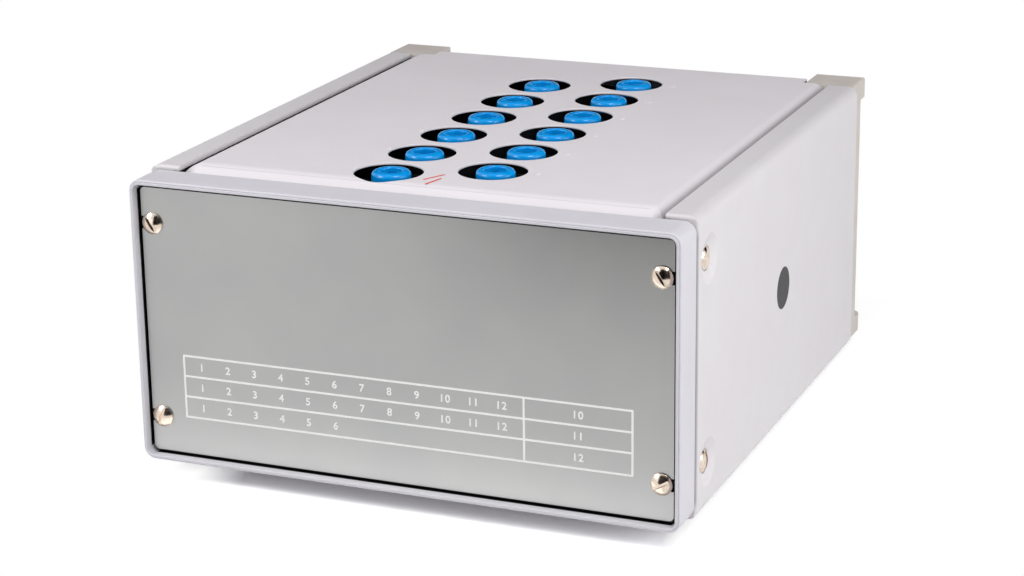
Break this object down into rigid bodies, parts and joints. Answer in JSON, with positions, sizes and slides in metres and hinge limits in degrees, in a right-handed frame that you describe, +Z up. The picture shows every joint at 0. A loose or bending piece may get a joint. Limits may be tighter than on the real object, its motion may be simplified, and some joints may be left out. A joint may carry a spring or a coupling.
{
  "type": "standard resistor",
  "caption": "Bench resistance standard: a painted metal case whose top has two staggered columns of shrouded plug sockets that join a zigzag chain of equal resistors inside.",
  "frame": {"origin": "on the bench, under the middle of the case between its front lip and its rear feet", "axes": "+Z up, the front plate faces -Y, +X to the right as seen from the front"},
  "size_m": [0.235, 0.2674, 0.1303],
  "materials": {
    "bezel_paint": "satin paint",
    "case_paint": "fine textured paint",
    "foot_plastic": "matte moulding",
    "plate_aluminium": "satin anodised",
    "bar_aluminium": "as drawn",
    "nickel": "polished nickel plate",
    "brass": "tinned",
    "black_laminate": "phenolic sheet",
    "black_rubber": "matte",
    "socket_blue": "moulded, polished",
    "ceramic": "glazed",
    "varnish": "dipped varnish",
    "disc_plastic": "matte"
  },
  "bodies": {
    "root": {"front_bezel": "bezel_paint", "front_gasket": "black_rubber", "front_plate": "plate_aluminium", "front_plate_screws": "nickel", "left_side": "case_paint", "right_side": "case_paint", "left_side_screws": "nickel", "right_side_screws": "nickel", "side_disc": "disc_plastic", "top_cover": "case_paint", "bottom_cover": "case_paint", "rear_frame": "foot_plastic", "rear_plate": "plate_aluminium", "rear_plate_screws": "nickel", "frame_screws": "nickel", "corner_foot_upper_left": "foot_plastic", "corner_foot_upper_right": "foot_plastic", "corner_foot_lower_left": "foot_plastic", "corner_foot_lower_right": "foot_plastic", "corner_foot_screws": "nickel", "base_foot_front_left": "black_rubber", "base_foot_front_right": "black_rubber", "base_foot_rear_left": "black_rubber", "base_foot_rear_right": "black_rubber", "base_foot_screws": "nickel", "base_foot_nuts": "nickel", "tie_bar_upper_left": "bar_aluminium", "tie_bar_upper_right": "bar_aluminium", "tie_bar_lower_left": "bar_aluminium", "tie_bar_lower_right": "bar_aluminium", "cross_bar_front": "bar_aluminium", "cross_bar_rear": "bar_aluminium", "cross_bar_screws": "nickel", "board_pillars": "ceramic", "board_screws": "nickel", "socket_board": "black_laminate", "contact_sleeves": "nickel", "socket_nuts": "nickel", "solder_lugs": "brass", "earth_strap": "brass", "resistors_upper_level": "varnish", "resistors_lower_level": "varnish", "socket_left_1": "socket_blue", "socket_left_2": "socket_blue", "socket_left_3": "socket_blue", "socket_left_4": "socket_blue", "socket_left_5": "socket_blue", "socket_left_6": "socket_blue", "socket_right_1": "socket_blue", "socket_right_2": "socket_blue", "socket_right_3": "socket_blue", "socket_right_4": "socket_blue", "socket_right_5": "socket_blue", "socket_right_6": "socket_blue"}
  },
  "joints": []
}
